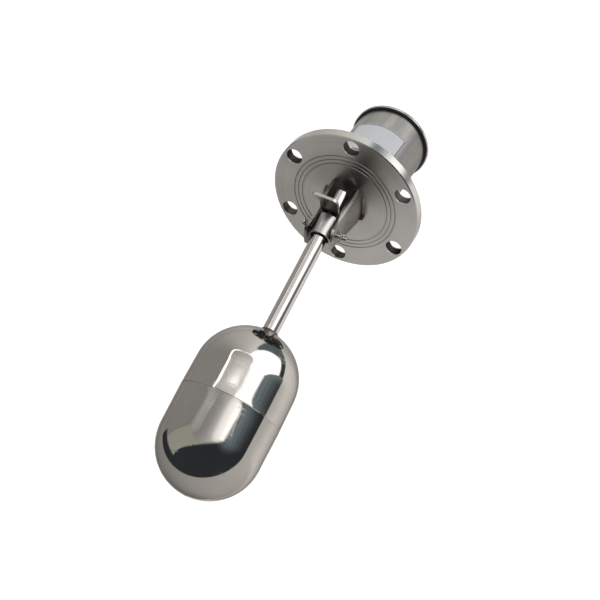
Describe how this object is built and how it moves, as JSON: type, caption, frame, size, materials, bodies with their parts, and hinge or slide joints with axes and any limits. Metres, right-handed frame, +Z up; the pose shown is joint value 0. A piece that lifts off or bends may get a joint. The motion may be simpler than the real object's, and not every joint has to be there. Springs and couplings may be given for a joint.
{
  "type": "float level switch",
  "caption": "Side-mounted magnetic level switch: bolted flange, forked pivot with a swinging rod and capsule float, and a sealed round switch housing with a cable entry behind.",
  "frame": {"origin": "centre of the flange's front face, the face that seals on the tank", "axes": "+X out of the front face into the tank, +Z up through the top bolt hole, +Y along the pivot pin"},
  "size_m": [0.3333, 0.12, 0.1691],
  "materials": {
    "contact_copper": "spring copper",
    "ferrite": "sintered, matt",
    "flange_steel": "satin, turned face",
    "float_steel": "mirror polished",
    "fork_steel": "brushed",
    "gasket_rubber": "matt",
    "gland_brass": "nickel plated",
    "housing_steel": "brushed",
    "hub_steel": "turned, satin",
    "laminate": "phenolic laminate",
    "lid_steel": "satin, turned",
    "moulded_plastic": "moulded",
    "nameplate_metal": "matt, bare",
    "pin_steel": "turned",
    "plate_steel": "brushed",
    "rod_steel": "polished",
    "screw_steel": "plain",
    "split_pin_steel": "drawn wire",
    "weld_steel": "heat-tinted weld"
  },
  "bodies": {
    "fixed_body": {"bracket_screws": "screw_steel", "cable_spud": "housing_steel", "fixed_contact_lower": "contact_copper", "fixed_contact_upper": "contact_copper", "flange": "flange_steel", "fork_cheek_left": "fork_steel", "fork_cheek_right": "fork_steel", "fork_weld_left": "weld_steel", "fork_weld_right": "weld_steel", "gland_body": "gland_brass", "gland_nut": "gland_brass", "gland_seal": "gasket_rubber", "housing_tube": "housing_steel", "housing_weld": "weld_steel", "lever_bracket": "pin_steel", "lever_pin": "pin_steel", "lid": "lid_steel", "lid_gasket": "gasket_rubber", "lid_pillars": "pin_steel", "lid_screws": "screw_steel", "nameplate": "nameplate_metal", "pivot_pin": "pin_steel", "split_pin_left": "split_pin_steel", "split_pin_right": "split_pin_steel", "terminal_board": "laminate", "terminal_screws": "screw_steel"},
    "float_arm": {"arm_hub": "hub_steel", "float_rod": "rod_steel", "magnet_tube": "rod_steel", "arm_magnet": "ferrite", "stop_plate": "plate_steel", "plate_tacks": "weld_steel", "float_rod_weld": "weld_steel", "float_upper_shell": "float_steel", "float_lower_shell": "float_steel"},
    "switch_lever": {"switch_lever": "moulded_plastic", "lever_magnet": "ferrite", "moving_contact": "contact_copper"}
  },
  "joints": [
    {"name": "float_arm_swing", "type": "hinge", "parent": "fixed_body", "child": "float_arm", "pos_m": [0.0372, 0, 0], "axis": [0, -1, 0], "range_deg": [0, 46]},
    {"name": "switch_lever_tip", "type": "hinge", "parent": "fixed_body", "child": "switch_lever", "pos_m": [-0.03, 0, 0], "axis": [0, -1, 0], "range_deg": [0, 20]}
  ],
  "couplings": [
    {"joint": "switch_lever_tip", "follows": "float_arm_swing", "ratio": 0.4329}
  ]
}
